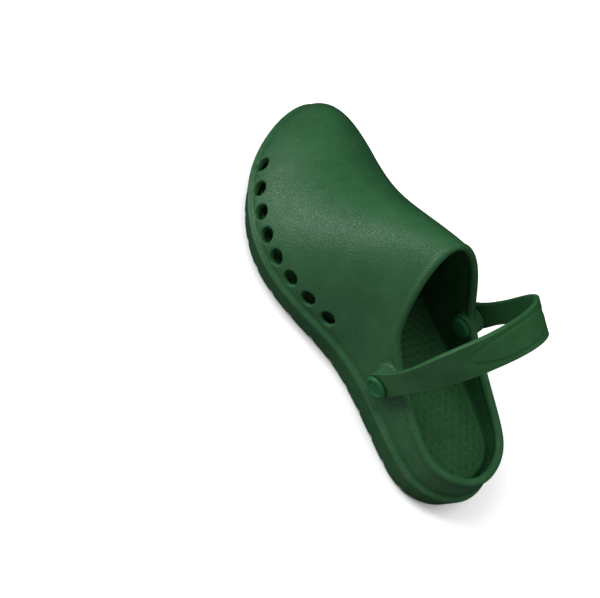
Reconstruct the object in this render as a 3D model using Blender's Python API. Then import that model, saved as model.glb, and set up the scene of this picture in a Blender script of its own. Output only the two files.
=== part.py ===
"""Garden clog of moulded EVA foam with a swinging heel strap.

Metres, +Y towards the toe, +Z up, the sole on z = 0. The clog is for the left foot, so its outer
side, with the wider curve, is towards -X. Dimensions below are millimetres and degrees.
"""

import math

import bmesh
import bpy
import numpy as np
from mathutils import Matrix, Vector

MM = 0.001

# Outline of the upper where it meets the sole, as half widths from the centre line.
LENGTH = 270.0
OUTER_FOREFOOT = 67.0
INNER_FOREFOOT = 41.0
OUTER_WAIST = 39.0
INNER_WAIST = 36.5
HEEL_HALF = 35.0
TOE_SHIFT = 12.0
CENTRING = (11.543, -0.08)
STATIONS = 44

# Sole band under the upper.
BAND_HEIGHT = 21.5
TOE_SPRING = 4.0
SPRING_START = 30.0
HEEL_FOOT_INSET = 2.0
TOE_FOOT_INSET = 4.5
FOOT_RADIUS = 3.5
BAND_SHOULDER = 2.5
WELT = 2.0
WELT_DROP = 0.5
NOTCH_PITCH = 17.5
NOTCH_WIDTH = 3.0
NOTCH_HEIGHT = 3.0
NOTCH_DEPTH = 9.0
NOTCH_OVERRUN = 20.0
NOTCH_END_MARGIN = 20.0

# Upper: height above the band along the crest, and the roundness of each cross section.
CREST_Y = (-135.0, -90.0, -10.0, 30.0, 60.0, 90.0, 135.0)
CREST_H = (79.0, 94.0, 98.0, 72.5, 49.5, 36.5, 40.0)
SPINE_BACK = -99.0
SPINE_FRONT = 91.0
ACROSS_POWER = 1.81
UP_POWER = 1.40
DOME_RINGS = 14

# Collar and heel rim, as heights along the shoe: a low curve round the heel, then a steep rise.
HEEL_RIM = 41.0
COLLAR_RIM = 62.0
COLLAR_FOOT = -38.0
COLLAR_TOP = -10.0
COLLAR_SOFTNESS = 4.0

# Inside.
HEEL_WALL = 5.0
TOE_WALL = 4.0
HEEL_FLOOR = 26.0
TOE_FLOOR = 15.0
INSOLE_BORDER = 3.0
INSOLE_THICKNESS = 4.5
INSOLE_BEVEL = 1.2
GAP = 0.3

# Vent holes.
VENT_RADIUS = 3.5
OUTER_VENT_COUNT = 8
INNER_VENT_COUNT = 6
VENT_FRONT = 100.0
VENT_PITCH = 15.4
VENT_RISE_FRONT = 5.5
VENT_RISE_BACK = 9.5
VENT_DEPTH = 13.0

# Strap, its pivots and studs. The pivot points are the centres of the pads' outer faces.
OUTER_PIVOT = (-27.743, -57.6, 42.2)
INNER_PIVOT = (48.957, -37.0, 55.5)
PAD_LENGTH = 12.5
PAD_RADIUS = 8.5
STRAP_LEAN = 17.0
STRAP_REACH = 87.0
STRAP_BOW = 1.24
STRAP_THICKNESS = 3.8
STRAP_END_RADIUS = 8.6
STRAP_NECK_HALF_WIDTH = 7.4
STRAP_BACK_HALF_WIDTH = 11.8
STRAP_EDGE = 0.9
STRAP_SIDESTEP = 6.0
STRAP_SLEW = -2.5
OUTER_FLARE = 23.0
INNER_FLARE = 11.0
SHANK_RADIUS = 3.2
STRAP_HOLE_RADIUS = 3.5
WALL_HOLE_RADIUS = 3.5
HEAD_RADIUS = 7.8
HEAD_THICKNESS = 2.4
CAP_RADIUS = 7.2
CAP_THICKNESS = 2.4
ROUND_STEPS = 40

GREEN = (0.045, 0.130, 0.055, 1.0)
DARK_GREEN = (0.030, 0.095, 0.040, 1.0)
INSOLE_GREEN = (0.050, 0.150, 0.060, 1.0)


def closed_spline(points, count):
    """Points along the closed cubic spline through the control points."""
    control = np.array(points + points[:1], float)
    chord = np.linalg.norm(np.diff(control, axis=0), axis=1) ** 0.5
    size = len(chord)
    system = np.zeros((size, size))
    right = np.zeros((size, 2))
    slope = np.diff(control, axis=0) / chord[:, None]
    for i in range(size):
        before = chord[i - 1]
        system[i, i - 1] += before
        system[i, i] += 2 * (before + chord[i])
        system[i, (i + 1) % size] += chord[i]
        right[i] = 6 * (slope[i] - slope[i - 1])
    bend = np.linalg.solve(system, right)
    bend = np.vstack([bend, bend[:1]])
    samples = []
    for i in range(size):
        t = np.linspace(0, chord[i], count // size, endpoint=False)[:, None]
        rest = chord[i] - t
        samples.append(
            (bend[i] * rest**3 + bend[i + 1] * t**3) / (6 * chord[i])
            + (control[i] / chord[i] - bend[i] * chord[i] / 6) * rest
            + (control[i + 1] / chord[i] - bend[i + 1] * chord[i] / 6) * t
        )
    return np.vstack(samples)


def open_spline(xs, ys):
    """Natural cubic spline through the knots, as a function."""
    xs, ys = np.array(xs, float), np.array(ys, float)
    step = np.diff(xs)
    size = len(xs)
    system = np.eye(size)
    right = np.zeros(size)
    for i in range(1, size - 1):
        system[i, i - 1 : i + 2] = step[i - 1], 2 * (step[i - 1] + step[i]), step[i]
        right[i] = 6 * ((ys[i + 1] - ys[i]) / step[i] - (ys[i] - ys[i - 1]) / step[i - 1])
    bend = np.linalg.solve(system, right)

    def value(x):
        x = np.asarray(x, float)
        i = np.clip(np.searchsorted(xs, x) - 1, 0, size - 2)
        low, high = x - xs[i], xs[i + 1] - x
        cubic = (bend[i] * high**3 + bend[i + 1] * low**3) / (6 * step[i])
        first = (ys[i] / step[i] - bend[i] * step[i] / 6) * high
        return cubic + first + (ys[i + 1] / step[i] - bend[i + 1] * step[i] / 6) * low

    return value


def smoothstep(low, high, value):
    t = np.clip((np.asarray(value, float) - low) / (high - low), 0, 1)
    return t * t * (3 - 2 * t)


HALF = LENGTH / 2
crest_height = open_spline(CREST_Y, CREST_H)


def outline_control():
    """Control points round the upper's foot, from the heel along the outer side to the toe and back."""
    outer = [
        (-HEEL_HALF * 0.75, -HALF + 13),
        (-HEEL_HALF, -HALF + 38),
        (-OUTER_WAIST, -38),
        (-(OUTER_WAIST + OUTER_FOREFOOT) / 2 - 1, 0),
        (-OUTER_FOREFOOT, 42),
        (-OUTER_FOREFOOT * 0.86, HALF - 50),
        (-OUTER_FOREFOOT * 0.55 + TOE_SHIFT * 0.5, HALF - 18),
    ]
    inner = [
        (INNER_FOREFOOT * 0.7 + TOE_SHIFT * 0.3, HALF - 17),
        (INNER_FOREFOOT * 0.97, HALF - 48),
        (INNER_FOREFOOT, 48),
        ((INNER_WAIST + INNER_FOREFOOT) / 2 - 1, 5),
        (INNER_WAIST, -38),
        (HEEL_HALF, -HALF + 38),
        (HEEL_HALF * 0.75, -HALF + 13),
    ]
    return [(0, -HALF)] + outer + [(TOE_SHIFT, HALF)] + inner


def outline_rings():
    """(points, outward normals, spine points) for one ring: heel to toe on the outer side, then back."""
    dense = closed_spline(outline_control(), 3200)
    dense += CENTRING
    heel, toe = int(np.argmin(dense[:, 1])), int(np.argmax(dense[:, 1]))
    outer = dense[heel : toe + 1]
    inner = np.vstack([dense[toe:], dense[: heel + 1]])[::-1]
    low, high = dense[heel, 1], dense[toe, 1]
    y = (low + high) / 2 - (high - low) / 2 * np.cos(np.pi * np.arange(STATIONS + 1) / STATIONS)
    left = np.interp(y, outer[:, 1], outer[:, 0])
    right = np.interp(y, inner[:, 1], inner[:, 0])
    ring_x = np.concatenate([left, right[-2:0:-1]])
    ring_y = np.concatenate([y, y[-2:0:-1]])
    points = np.stack([ring_x, ring_y], axis=1)
    along = np.roll(points, -1, axis=0) - np.roll(points, 1, axis=0)
    normals = np.stack([-along[:, 1], along[:, 0]], axis=1)
    normals /= np.linalg.norm(normals, axis=1)[:, None]
    spine_y = np.clip(y, SPINE_BACK, SPINE_FRONT)
    spine_left = np.interp(spine_y, outer[:, 1], outer[:, 0])
    spine_right = np.interp(spine_y, inner[:, 1], inner[:, 0])
    spine = np.stack([(spine_left + spine_right) / 2, spine_y], axis=1)
    spine = np.vstack([spine, spine[-2:0:-1]])
    return points, normals, spine


OUTLINE, NORMALS, SPINE = outline_rings()


def spring(y):
    """Rise of the sole towards the toe."""
    return TOE_SPRING * np.clip((y - SPRING_START) / (HALF - SPRING_START), 0, 1) ** 2


def foot_inset(y):
    """How far the sole's edge on the ground lies inside the upper's outline."""
    return HEEL_FOOT_INSET + (TOE_FOOT_INSET - HEEL_FOOT_INSET) * smoothstep(-60, 40, y)


def wall_thickness(y):
    return HEEL_WALL + (TOE_WALL - HEEL_WALL) * smoothstep(-60, 20, y)


def floor_height(y):
    return HEEL_FLOOR + (TOE_FLOOR - HEEL_FLOOR) * smoothstep(-70, 60, y) + spring(y)


def flat_ring(outset, height, shrink=1.0):
    """Ring of the outline moved out by `outset`, drawn towards the spine by `shrink`."""
    plan = SPINE + (OUTLINE + NORMALS * np.reshape(outset, (-1, 1)) - SPINE) * shrink
    level = height(plan[:, 1]) if callable(height) else np.full(len(plan), height)
    return np.column_stack([plan, level])


def dome_ring(girth, outset, base, crest):
    """Ring of an arched surface: girth 1 is its foot and girth 0 its crest line."""
    plan = SPINE + (OUTLINE + NORMALS * np.reshape(outset, (-1, 1)) - SPINE) * girth
    foot, top = base(plan[:, 1]), crest(plan[:, 1])
    rise = (1 - girth**ACROSS_POWER) ** (1 / UP_POWER)
    return np.column_stack([plan, foot + (top - foot) * rise])


def girths(count):
    """Girths from just above the foot to the crest, closer together where the arch bends more."""
    angles = np.linspace(0, math.pi / 2, count + 1)[1:]
    values = np.cos(angles) ** (2 / ACROSS_POWER)
    values[-1] = 0
    return values


def band_top(y):
    return BAND_HEIGHT + spring(y)


def crest_top(y):
    return band_top(y) + crest_height(y)


def link(obj, collection):
    collection.objects.link(obj)
    return obj


def mesh_object(name, points, faces, collection, material=None):
    """A mesh object from millimetre points, with doubled points merged and its faces outward."""
    mesh = bpy.data.meshes.new(name)
    mesh.from_pydata([tuple(p * MM) for p in np.asarray(points, float)], [], faces)
    bm = bmesh.new()
    bm.from_mesh(mesh)
    bmesh.ops.remove_doubles(bm, verts=bm.verts, dist=0.00002)
    bmesh.ops.recalc_face_normals(bm, faces=bm.faces)
    bm.to_mesh(mesh)
    bm.free()
    if material:
        mesh.materials.append(material)
    return link(bpy.data.objects.new(name, mesh), collection)


def loft(name, rings, collection, material=None, closed_ends=True):
    """Skin over rings of equal length; the end rings are either collapsed or closed with a face."""
    count = len(rings[0])
    points = np.vstack(rings)
    faces = []
    for r in range(len(rings) - 1):
        for i in range(count):
            j = (i + 1) % count
            faces.append((r * count + i, r * count + j, (r + 1) * count + j, (r + 1) * count + i))
    if closed_ends:
        last = (len(rings) - 1) * count
        faces.append(tuple(range(count))[::-1])
        faces.append(tuple(range(last, last + count)))
    return mesh_object(name, points, faces, collection, material)


def new_material(name, colour, roughness):
    material = bpy.data.materials.new(name)
    material.use_nodes = True
    shader = material.node_tree.nodes["Principled BSDF"]
    shader.inputs["Base Color"].default_value = colour
    shader.inputs["Roughness"].default_value = roughness
    shader.inputs["Metallic"].default_value = 0.0
    return material


def boolean(obj, other, operation):
    modifier = obj.modifiers.new(other.name, "BOOLEAN")
    modifier.operation = operation
    modifier.solver = "EXACT"
    modifier.object = other


def cylinder(name, radius, start, end, collection, steps=ROUND_STEPS):
    """Cylinder between two millimetre points."""
    start, end = Vector(start), Vector(end)
    axis = end - start
    bpy.ops.mesh.primitive_cylinder_add(vertices=steps, radius=radius * MM, depth=axis.length * MM)
    obj = bpy.context.object
    obj.name = name
    obj.rotation_euler = axis.to_track_quat("Z", "Y").to_euler()
    obj.location = (start + end) / 2 * MM
    for owner in list(obj.users_collection):
        owner.objects.unlink(obj)
    return link(obj, collection)


def box(name, low, high, collection):
    """Axis-aligned box between two millimetre corners."""
    low, high = np.array(low, float), np.array(high, float)
    corners = [[(low, high)[(n >> k) & 1][k] for k in range(3)] for n in range(8)]
    faces = [(0, 1, 3, 2), (4, 6, 7, 5), (0, 4, 5, 1), (2, 3, 7, 6), (0, 2, 6, 4), (1, 5, 7, 3)]
    return mesh_object(name, corners, faces, collection)


def helper(obj):
    obj.hide_render = True
    obj.display_type = "WIRE"
    return obj


def heel_rim(y):
    along = np.clip((y + HALF) / (COLLAR_FOOT + HALF), 0, None)
    return HEEL_RIM + (COLLAR_RIM - HEEL_RIM) * along**2


def collar_rise(y):
    """Rise of the collar above the heel curve per unit slope, with a soft start."""
    return COLLAR_SOFTNESS * np.logaddexp(0, (y - COLLAR_FOOT) / COLLAR_SOFTNESS)


COLLAR_SLOPE = (crest_top(COLLAR_TOP) - heel_rim(COLLAR_TOP)) / collar_rise(COLLAR_TOP)


def rim_height(y):
    return heel_rim(y) + COLLAR_SLOPE * collar_rise(y)


def rim_profile():
    """Side view of the collar edge, heel to instep and on above it, as (y, z) points."""
    heel = np.linspace(-HALF - 12, COLLAR_FOOT - 3 * COLLAR_SOFTNESS, 14)
    collar = np.linspace(COLLAR_FOOT - 2.5 * COLLAR_SOFTNESS, COLLAR_TOP, 12)
    above = np.array([COLLAR_TOP + 15])
    return [(y, float(rim_height(y))) for y in np.concatenate([heel, collar, above])]


def build_shell(parts, cutters, material):
    """Sole and upper in one piece: an outer body less the foot space, the opening, vents and notches."""
    inset = foot_inset(OUTLINE[:, 1])
    rings = [
        flat_ring(0, spring, 0.0),
        flat_ring(-inset - FOOT_RADIUS, spring),
        flat_ring(-inset, lambda y: spring(y) + FOOT_RADIUS),
        flat_ring(WELT, lambda y: band_top(y) - BAND_SHOULDER),
        flat_ring(WELT, lambda y: band_top(y) - WELT_DROP),
        flat_ring(0, band_top),
    ]
    rings += [dome_ring(g, 0, band_top, crest_top) for g in girths(DOME_RINGS)]
    shell = loft("clog_shell", rings, parts, material, closed_ends=False)

    wall = wall_thickness(OUTLINE[:, 1])
    inside = [flat_ring(0, floor_height, 0.0), flat_ring(-wall, floor_height)]
    inside += [
        dome_ring(g, -wall, floor_height, lambda y: crest_top(y) - wall_thickness(y))
        for g in girths(DOME_RINGS)
    ]
    boolean(shell, helper(loft("foot_space", inside, cutters, closed_ends=False)), "DIFFERENCE")

    profile = rim_profile()
    profile += [(profile[-1][0], 400.0), (profile[0][0], 400.0)]
    sides = [np.array([(x, y, z) for y, z in profile]) for x in (-150.0, 150.0)]
    boolean(shell, helper(loft("opening", sides, cutters)), "DIFFERENCE")
    return shell


def side_of(ring, side):
    """The part of a ring on one side, -1 outer or 1 inner, from heel to toe."""
    if side < 0:
        return ring[: STATIONS + 1]
    return np.vstack([ring[STATIONS:], ring[:1]])[::-1]


def on_upper(y, rise, side):
    """Point of the upper at this y and this height above the sole band."""
    girth = (1 - (rise / float(crest_height(y))) ** UP_POWER) ** (1 / ACROSS_POWER)
    half = side_of(dome_ring(girth, 0, band_top, crest_top), side)
    return np.array([np.interp(y, half[:, 1], half[:, k]) for k in range(3)])


def upper_normal(y, rise, side):
    along = on_upper(y + 2, rise, side) - on_upper(y - 2, rise, side)
    up = on_upper(y, rise + 1, side) - on_upper(y, rise - 1, side)
    normal = np.cross(along, up) * -side
    return normal / np.linalg.norm(normal)


def cut_vents(shell, cutters):
    """A row of vent holes low on each side of the forefoot."""
    for name, side, count in (("outer", -1, OUTER_VENT_COUNT), ("inner", 1, INNER_VENT_COUNT)):
        for n in range(count):
            y = VENT_FRONT - n * VENT_PITCH
            rise = VENT_RISE_FRONT + (VENT_RISE_BACK - VENT_RISE_FRONT) * n / (OUTER_VENT_COUNT - 1)
            point = on_upper(y, rise, side)
            normal = upper_normal(y, rise, side)
            start, end = point + normal * 8, point - normal * VENT_DEPTH
            tube = cylinder(f"vent_{name}_{n + 1}", VENT_RADIUS, start, end, cutters, 24)
            boolean(shell, helper(tube), "DIFFERENCE")


def cut_notches(shell, cutters):
    """Short tread grooves that run out at the sole's edge on both sides."""
    count = int((LENGTH - 2 * NOTCH_END_MARGIN) / NOTCH_PITCH) + 1
    first = -(count - 1) / 2 * NOTCH_PITCH
    for n in range(count):
        y = first + n * NOTCH_PITCH
        for name, side in (("outer", -1), ("inner", 1)):
            half = side_of(OUTLINE, side)
            edge = float(np.interp(y, half[:, 1], half[:, 0]))
            inner_end = edge - side * (float(foot_inset(y)) + NOTCH_DEPTH)
            ends = sorted((inner_end, edge + side * NOTCH_OVERRUN))
            low = (ends[0], y - NOTCH_WIDTH / 2, -NOTCH_HEIGHT)
            high = (ends[1], y + NOTCH_WIDTH / 2, float(spring(y)) + NOTCH_HEIGHT)
            boolean(shell, helper(box(f"notch_{name}_{n + 1}", low, high, cutters)), "DIFFERENCE")


PIVOTS = {"outer": np.array(OUTER_PIVOT), "inner": np.array(INNER_PIVOT)}
PIVOT_SPAN = float(np.linalg.norm(PIVOTS["inner"] - PIVOTS["outer"]))
PIVOT_AXIS = (PIVOTS["inner"] - PIVOTS["outer"]) / PIVOT_SPAN
PIVOT_MIDDLE = (PIVOTS["inner"] + PIVOTS["outer"]) / 2
OUTWARD = {"outer": -PIVOT_AXIS, "inner": PIVOT_AXIS}


def strap_frame():
    """Columns of the strap's own axes: along the pivots, across the band and away from the pivots."""
    lean = math.radians(STRAP_LEAN)
    out = np.array([0, -math.sin(lean), math.cos(lean)])
    out -= PIVOT_AXIS * (out @ PIVOT_AXIS)
    out /= np.linalg.norm(out)
    return np.column_stack([PIVOT_AXIS, np.cross(out, PIVOT_AXIS), out])


def add_pads(shell, cutters):
    """Flat pads in the wall for the strap and the caps, then the holes for the stud shanks."""
    for name, face in PIVOTS.items():
        pad = cylinder(f"pad_{name}", PAD_RADIUS, face - OUTWARD[name] * PAD_LENGTH, face, cutters)
        boolean(shell, helper(pad), "UNION")
    for name, face in PIVOTS.items():
        start, end = face - OUTWARD[name] * (PAD_LENGTH + 6), face + OUTWARD[name] * 6
        hole = cylinder(f"shank_hole_{name}", WALL_HOLE_RADIUS, start, end, cutters)
        boolean(shell, helper(hole), "DIFFERENCE")


def build_insole(parts, material):
    """Loose footbed that follows the floor, bevelled round its top edge."""
    inset = wall_thickness(OUTLINE[:, 1]) + INSOLE_BORDER

    def level(rise):
        return lambda y: floor_height(y) + GAP + rise

    top = level(INSOLE_THICKNESS)
    shrink = (0.75, 0.5, 0.25, 0.0)
    rings = [flat_ring(-inset, level(0), s) for s in shrink[::-1]]
    rings += [flat_ring(-inset, level(0)), flat_ring(-inset, level(INSOLE_THICKNESS - INSOLE_BEVEL))]
    rings += [flat_ring(-inset - INSOLE_BEVEL, top)]
    rings += [flat_ring(-inset - INSOLE_BEVEL, top, s) for s in shrink]
    return loft("insole", rings, parts, material, closed_ends=False)


def strap_path():
    """Centre line of the strap in its own plane, from the outer pivot's end round to the inner's."""
    half = PIVOT_SPAN / 2 + GAP + STRAP_THICKNESS / 2
    bow = half * STRAP_BOW
    straight = STRAP_REACH - STRAP_THICKNESS / 2 - bow
    tip = -STRAP_END_RADIUS * np.cos(np.linspace(0.1, math.pi / 2, 8))
    legs = np.concatenate([tip, np.linspace(0, straight, 9)[1:]])
    turn = np.linspace(0, math.pi, 33)[1:-1]
    points = [(-half, v) for v in legs]
    points += [(-half * math.cos(a), straight + bow * math.sin(a)) for a in turn]
    points += [(half, v) for v in legs[::-1]]
    path = np.array(points)
    side = path[:, 0] / half
    path[:, 0] += STRAP_SIDESTEP * smoothstep(STRAP_END_RADIUS, STRAP_REACH, path[:, 1])
    return path, side


def strap_width(v):
    """Half width: round ends on the pivots, a slimmer neck, then the wide back."""
    neck = STRAP_END_RADIUS + (STRAP_NECK_HALF_WIDTH - STRAP_END_RADIUS) * smoothstep(0, 18, v)
    back = smoothstep(STRAP_REACH * 0.3, STRAP_REACH * 0.85, v)
    width = neck + (STRAP_BACK_HALF_WIDTH - STRAP_NECK_HALF_WIDTH) * back
    inside = np.clip(-v, 0, STRAP_END_RADIUS)
    return np.where(v < 0, np.sqrt(STRAP_END_RADIUS**2 - inside**2), width)


def strap_bank(side, v):
    """Angle by which the band's forward edge flares outwards, as on a cone, growing to the back."""
    along = smoothstep(-0.6, 0.6, side)
    flare = OUTER_FLARE + (INNER_FLARE - OUTER_FLARE) * along
    return np.radians(flare) * smoothstep(STRAP_REACH * 0.1, STRAP_REACH * 0.8, v)


def build_strap(parts, cutters, material):
    """U-shaped band round the back of the heel, wider at its back, with a rounded end on each pivot."""
    path, side = strap_path()
    tangent = np.gradient(path, axis=0)
    tangent /= np.linalg.norm(tangent, axis=1)[:, None]
    v = path[:, 1]
    width, bank = strap_width(v), strap_bank(side, v)
    slew = STRAP_SLEW * side * smoothstep(STRAP_END_RADIUS, STRAP_REACH, v)
    thick, edge = STRAP_THICKNESS / 2, STRAP_EDGE
    rings = []
    for (pu, pv), (tu, tv), w, turn, shift in zip(path, tangent, width, bank, slew):
        trim = min(edge, w * 0.4)
        corners = [(thick, -w + trim), (thick - edge, -w), (-thick + edge, -w), (-thick, -w + trim)]
        corners += [(-a, -b) for a, b in corners]
        ring = []
        for a, b in corners:
            outward = a * math.cos(turn) + b * math.sin(turn)
            across = b * math.cos(turn) - a * math.sin(turn)
            ring.append((pu - tv * outward, across + shift, pv + tu * outward))
        rings.append(np.array(ring))
    strap = loft("heel_strap", rings, parts, material)
    axes = Matrix(strap_frame().tolist())
    strap.matrix_world = Matrix.Translation(PIVOT_MIDDLE * MM) @ axes.to_4x4()
    reach = PIVOT_AXIS * (PIVOT_SPAN / 2 + 30)
    hole = cylinder("strap_hole", STRAP_HOLE_RADIUS, PIVOT_MIDDLE - reach, PIVOT_MIDDLE + reach, cutters)
    boolean(strap, helper(hole), "DIFFERENCE")
    return strap


def turned(name, profile, base, axis, parts, material):
    """Solid of revolution about `axis` from (radius, distance along the axis from base) points."""
    turn = np.linspace(0, 2 * math.pi, ROUND_STEPS, endpoint=False)
    rings = [
        np.column_stack([r * np.cos(turn), r * np.sin(turn), np.full(ROUND_STEPS, d)])
        for r, d in profile
    ]
    obj = loft(name, rings, parts, material, closed_ends=False)
    obj.location = base * MM
    obj.rotation_euler = Vector(axis).to_track_quat("Z", "Y").to_euler()
    obj.data.shade_smooth()
    return obj


def build_studs(parts, material):
    """A headed stud and an inner cap for each pivot."""
    head = PAD_LENGTH + 2 * GAP + STRAP_THICKNESS
    tip = -GAP - CAP_THICKNESS * 0.6
    bore = SHANK_RADIUS + 0.1
    stud = [
        (0.0, head + HEAD_THICKNESS * 0.75),
        (HEAD_RADIUS - 2.4, head + HEAD_THICKNESS * 0.75),
        (HEAD_RADIUS - 1.8, head + HEAD_THICKNESS),
        (HEAD_RADIUS - 0.7, head + HEAD_THICKNESS),
        (HEAD_RADIUS, head + HEAD_THICKNESS - 0.8),
        (HEAD_RADIUS, head + 0.5),
        (HEAD_RADIUS - 0.5, head),
        (SHANK_RADIUS, head),
        (SHANK_RADIUS, tip + 0.4),
        (SHANK_RADIUS - 0.4, tip),
        (0.0, tip),
    ]
    cap = [
        (0.0, tip - 0.2),
        (bore, tip - 0.2),
        (bore, -GAP),
        (CAP_RADIUS, -GAP),
        (CAP_RADIUS, -GAP - 1.0),
        (CAP_RADIUS - 1.6, -GAP - CAP_THICKNESS),
        (0.0, -GAP - CAP_THICKNESS),
    ]
    for name, side in (("lateral", "outer"), ("medial", "inner")):
        base = PIVOTS[side] - OUTWARD[side] * PAD_LENGTH
        turned(f"rivet_{name}", stud, base, OUTWARD[side], parts, material)
        turned(f"rivet_cap_{name}", cap, base, OUTWARD[side], parts, material)


def build():
    for obj in list(bpy.data.objects):
        bpy.data.objects.remove(obj, do_unlink=True)
    scene = bpy.context.scene
    scene.unit_settings.system = "METRIC"
    parts = bpy.data.collections.new("garden_clog")
    cutters = bpy.data.collections.new("cutters")
    for collection in (parts, cutters):
        scene.collection.children.link(collection)

    shell = build_shell(parts, cutters, new_material("shell_foam", GREEN, 0.45))
    cut_vents(shell, cutters)
    cut_notches(shell, cutters)
    add_pads(shell, cutters)
    insole = build_insole(parts, new_material("insole_foam", INSOLE_GREEN, 0.6))
    strap = build_strap(parts, cutters, new_material("strap_foam", GREEN, 0.45))
    build_studs(parts, new_material("stud_plastic", DARK_GREEN, 0.35))
    for obj in (shell, insole, strap):
        obj.data.shade_smooth()


build()
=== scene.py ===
"""Looks for the garden clog: leather-grained foam shell, dimpled insole, strap and studs.

The shapes are worked out in millimetres from the same driving dimensions as the CAD part, so that
each visual piece fills the place of the node it stands for. +Y is towards the toe, +Z up.
"""

import math

import bmesh
import bpy
import numpy as np
from mathutils import Matrix, Vector


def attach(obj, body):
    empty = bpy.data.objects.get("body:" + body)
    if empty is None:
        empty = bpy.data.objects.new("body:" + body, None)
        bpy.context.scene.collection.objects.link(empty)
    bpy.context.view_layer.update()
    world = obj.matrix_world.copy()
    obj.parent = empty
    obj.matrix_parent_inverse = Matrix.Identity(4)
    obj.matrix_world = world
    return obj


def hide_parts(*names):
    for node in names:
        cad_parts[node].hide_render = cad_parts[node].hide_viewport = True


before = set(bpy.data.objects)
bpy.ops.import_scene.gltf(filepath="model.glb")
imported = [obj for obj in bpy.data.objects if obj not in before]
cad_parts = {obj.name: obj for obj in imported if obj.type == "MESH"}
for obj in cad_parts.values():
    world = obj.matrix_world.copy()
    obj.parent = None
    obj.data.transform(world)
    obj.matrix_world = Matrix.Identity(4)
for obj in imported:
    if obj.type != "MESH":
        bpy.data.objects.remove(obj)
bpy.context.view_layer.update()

MM = 0.001

# Outline of the upper where it meets the sole.
LENGTH = 270.0
HALF = LENGTH / 2
OUTER_FOREFOOT = 67.0
INNER_FOREFOOT = 41.0
OUTER_WAIST = 39.0
INNER_WAIST = 36.5
HEEL_HALF = 35.0
TOE_SHIFT = 12.0
HEEL_CORNER = 0.75  # share of the heel's half width, where its back starts to turn in
OUTER_TOE_SHOULDER = 0.86  # shares of the forefoot's width, on the way round the toe
OUTER_TOE_CORNER = 0.55
INNER_TOE_SHOULDER = 0.97
INNER_TOE_CORNER = 0.7
OUTLINE_SAMPLES = 9600
CENTRING = (11.543, -0.08)
STATIONS = 170
UNDERSIDE_RINGS = (0.0, 0.3, 0.6, 0.85)

# Sole band.
BAND_HEIGHT = 21.5
TOE_SPRING = 4.0
SPRING_START = 30.0
HEEL_FOOT_INSET = 2.0
TOE_FOOT_INSET = 4.5
FOOT_RADIUS = 3.5
WELT = 2.0
WELT_ROUND_HEIGHT = 2.2
WELT_ROUND_INSET = 1.6
WELT_ROUND_RISE = 1.9
CREASE_DEPTH = 0.9
CREASE_HEIGHT = 1.3
CREASE_DROP = 0.1
CREASE_DOME_HEIGHT = 30.0  # nominal rise of the upper, over which the crease fades
NOTCH_PITCH = 17.5
NOTCH_WIDTH = 3.0
NOTCH_HEIGHT = 3.0
NOTCH_DEPTH = 9.0
NOTCH_END_MARGIN = 20.0
NOTCH_OVERRUN = 20.0

# Upper.
CREST_Y = (-135.0, -90.0, -10.0, 30.0, 60.0, 90.0, 135.0)
CREST_H = (79.0, 94.0, 98.0, 72.5, 49.5, 36.5, 40.0)
SPINE_BACK = -99.0
SPINE_FRONT = 91.0
ACROSS_POWER = 1.81
UP_POWER = 1.40
DOME_RINGS = 44
HEEL_RIM = 41.0
COLLAR_RIM = 62.0
COLLAR_FOOT = -38.0
COLLAR_TOP = -10.0
COLLAR_SOFTNESS = 4.0
OVERHEAD = 400.0
BEAD_PROUD = 0.35
BEAD_SWITCH = 0.80  # girth where the bead's route changes from stations to girths
BEAD_LOWEST_GIRTH = 0.2

# Inside.
HEEL_WALL = 5.0
TOE_WALL = 4.0
HEEL_FLOOR = 26.0
TOE_FLOOR = 15.0
FLOOR_CHAMFER = 0.6
INSOLE_BORDER = 3.0
INSOLE_THICKNESS = 4.5
INSOLE_EDGE = 1.2
INSOLE_RIDGE_HEIGHT = 0.35
INSOLE_RIDGE_INSET = 2.2
INSOLE_RIDGE_HALF_WIDTH = 0.7
GAP = 0.3

# Vent holes and the scoop below each.
VENT_RADIUS = 3.4
VENT_LIP = 1.5
OUTER_VENT_COUNT = 8
INNER_VENT_COUNT = 6
VENT_FRONT = 100.0
VENT_PITCH = 15.4
VENT_RISE_FRONT = 5.5
VENT_RISE_BACK = 9.5
VENT_DEPTH = 13.0
CUTTER_OVERRUN = 6.0
SCOOP_DEPTH = 1.3
SCOOP_HALF_WIDTH = 4.2
SCOOP_HALF_LENGTH = 5.5
SCOOP_TAPER = 0.35
SCOOP_OFFSET = 2.0
SCOOP_REACH = 7.0
SCOOP_FACING = 0.35  # least cosine between the wall's normal and the vent's

# Strap and studs.
OUTER_PIVOT = (-27.743, -57.6, 42.2)
INNER_PIVOT = (48.957, -37.0, 55.5)
PAD_LENGTH = 12.5
PAD_RADIUS = 8.5
PAD_ROUNDING = 1.0
STRAP_LEAN = 17.0
STRAP_REACH = 87.0
STRAP_BOW = 1.24
STRAP_THICKNESS = 3.8
STRAP_END_RADIUS = 8.6
STRAP_NECK_HALF_WIDTH = 7.4
STRAP_BACK_HALF_WIDTH = 11.8
STRAP_ROUNDING = 1.3
STRAP_NECK_END = 18.0
STRAP_WIDENING = (0.3, 0.85)  # shares of the reach between which the band widens
STRAP_BANKING = (0.1, 0.8)  # shares of the reach between which the band tilts outwards
STRAP_SIDESTEP = 6.0
STRAP_SLEW = -2.5
OUTER_FLARE = 23.0
INNER_FLARE = 11.0
PANEL_HALF_LENGTH = 34.0
PANEL_HALF_WIDTH = 8.6
PANEL_GROOVE = 0.45
PANEL_GROOVE_HALF_WIDTH = 0.75
PANEL_PROUD = 0.25
SHANK_RADIUS = 3.2
STRAP_HOLE_RADIUS = 3.5
HEAD_RADIUS = 7.8
HEAD_THICKNESS = 2.4
CAP_RADIUS = 7.2
CAP_THICKNESS = 2.4
ROUND_STEPS = 96

VOXEL = 0.85
SMOOTHING_ROUNDS = 5
SHELL_FACES = 190000

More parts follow.
